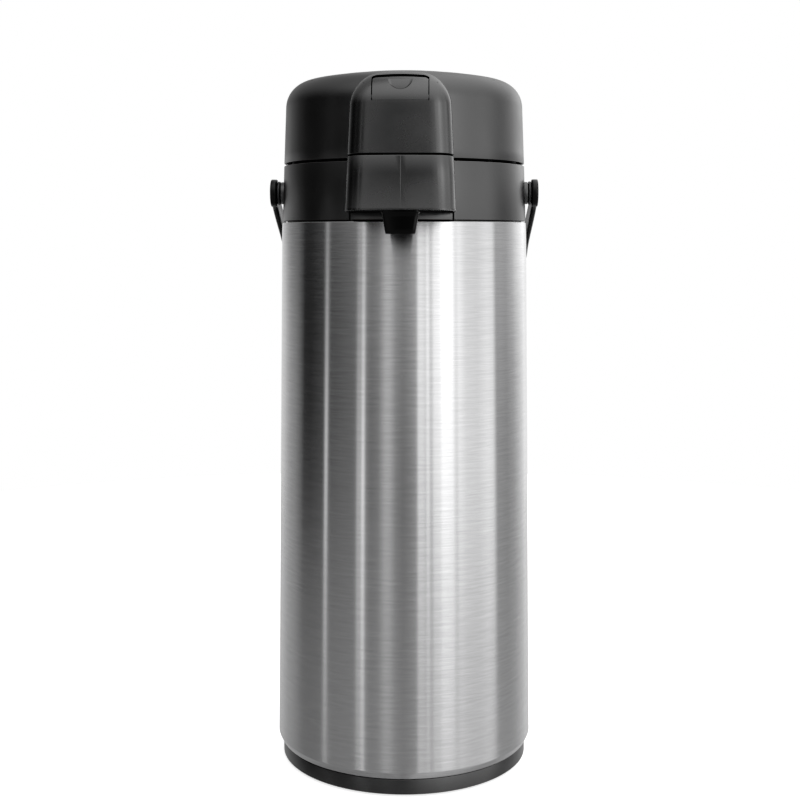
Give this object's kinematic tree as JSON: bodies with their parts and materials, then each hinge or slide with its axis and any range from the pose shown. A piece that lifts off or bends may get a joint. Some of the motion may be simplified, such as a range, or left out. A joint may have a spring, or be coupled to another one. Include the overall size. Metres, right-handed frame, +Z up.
{
  "type": "thermal coffee airpot",
  "caption": "Insulated pump dispenser for hot drinks: tapered brushed steel body, black collar and hinged domed lid with a spout nose, front latch, press plate, bail handle and swivel foot.",
  "frame": {"origin": "centre of the foot's underside, on the table", "axes": "+Z up along the pot's axis, -Y towards the spout, +X to the right seen from the spout's side"},
  "size_m": [0.1502, 0.1838, 0.3868],
  "materials": {
    "casing_steel": "brushed round the body, lacquered",
    "black_plastic": "fine matte grain",
    "dark_plastic": "plain moulded",
    "bright_steel": "bright",
    "flask_glass": "silvered on the vacuum side",
    "rubber": "matte",
    "silicone": "satin, translucent white"
  },
  "bodies": {
    "pot": {"casing_tube": "casing_steel", "collar": "black_plastic", "spout_base_plate": "black_plastic", "spout_nozzle": "black_plastic", "delivery_pipe": "bright_steel", "pipe_grommet": "silicone", "pipe_union": "silicone", "dip_tube": "bright_steel", "flask_outer_glass": "flask_glass", "flask_inner_glass": "flask_glass", "flask_mouth_seal": "silicone", "flask_cushion": "rubber", "flask_support_cap": "dark_plastic", "base_ring": "black_plastic", "base_clamp_ring": "dark_plastic", "base_screw_1": "bright_steel", "base_screw_2": "bright_steel", "base_screw_3": "bright_steel", "collar_clamp_ring": "dark_plastic", "collar_screw_1": "bright_steel", "collar_screw_2": "bright_steel", "collar_screw_3": "bright_steel", "foot_pivot_screw": "bright_steel", "handle_screw_left": "bright_steel", "handle_screw_right": "bright_steel", "handle_washer_left": "dark_plastic", "handle_washer_right": "dark_plastic"},
    "foot": {"foot_plate": "dark_plastic", "foot_pad_centre": "rubber", "foot_pad_1": "rubber", "foot_pad_2": "rubber", "foot_pad_3": "rubber", "foot_pad_4": "rubber"},
    "lid": {"lid_shell": "black_plastic", "lid_inner_cover": "dark_plastic", "lid_gasket": "silicone", "air_valve_disc": "silicone", "lid_screw_1": "bright_steel", "lid_screw_2": "bright_steel", "lid_screw_3": "bright_steel", "bellows": "rubber", "bellows_clamp_ring": "dark_plastic", "pump_spring": "bright_steel", "latch_pin": "bright_steel", "lid_hinge_pin": "bright_steel"},
    "press": {"press_plate": "black_plastic", "plunger_disc": "dark_plastic"},
    "lock": {"lock_slider": "dark_plastic"},
    "latch": {"latch_lever": "black_plastic", "latch_spring": "bright_steel"},
    "bail": {"handle_bail": "black_plastic"}
  },
  "joints": [
    {"name": "base_swivel", "type": "hinge", "parent": "pot", "child": "foot", "pos_m": [0, 0, 0.003], "axis": [0, 0, 1], "continuous": true},
    {"name": "lid_hinge", "type": "hinge", "parent": "pot", "child": "lid", "pos_m": [0, 0.0725, 0.337], "axis": [1, 0, 0], "range_deg": [-88, 0]},
    {"name": "pump_press", "type": "slide", "parent": "lid", "child": "press", "axis": [0, 0, -1], "range_m": [0, 0.017], "stiffness_N_per_m": 500, "springref_m": -0.012, "deforming": ["bellows", "pump_spring"]},
    {"name": "lock_slide", "type": "slide", "parent": "press", "child": "lock", "axis": [-1, 0, 0], "range_m": [-0.008, 0]},
    {"name": "latch_press", "type": "hinge", "parent": "lid", "child": "latch", "pos_m": [0, -0.0865, 0.364], "axis": [-1, 0, 0], "range_deg": [0, 5], "stiffness_Nm_per_rad": 0.5, "springref_deg": -6.88},
    {"name": "handle_swing", "type": "hinge", "parent": "pot", "child": "bail", "pos_m": [0, 0, 0.3205], "axis": [1, 0, 0], "range_deg": [0, 150]}
  ]
}
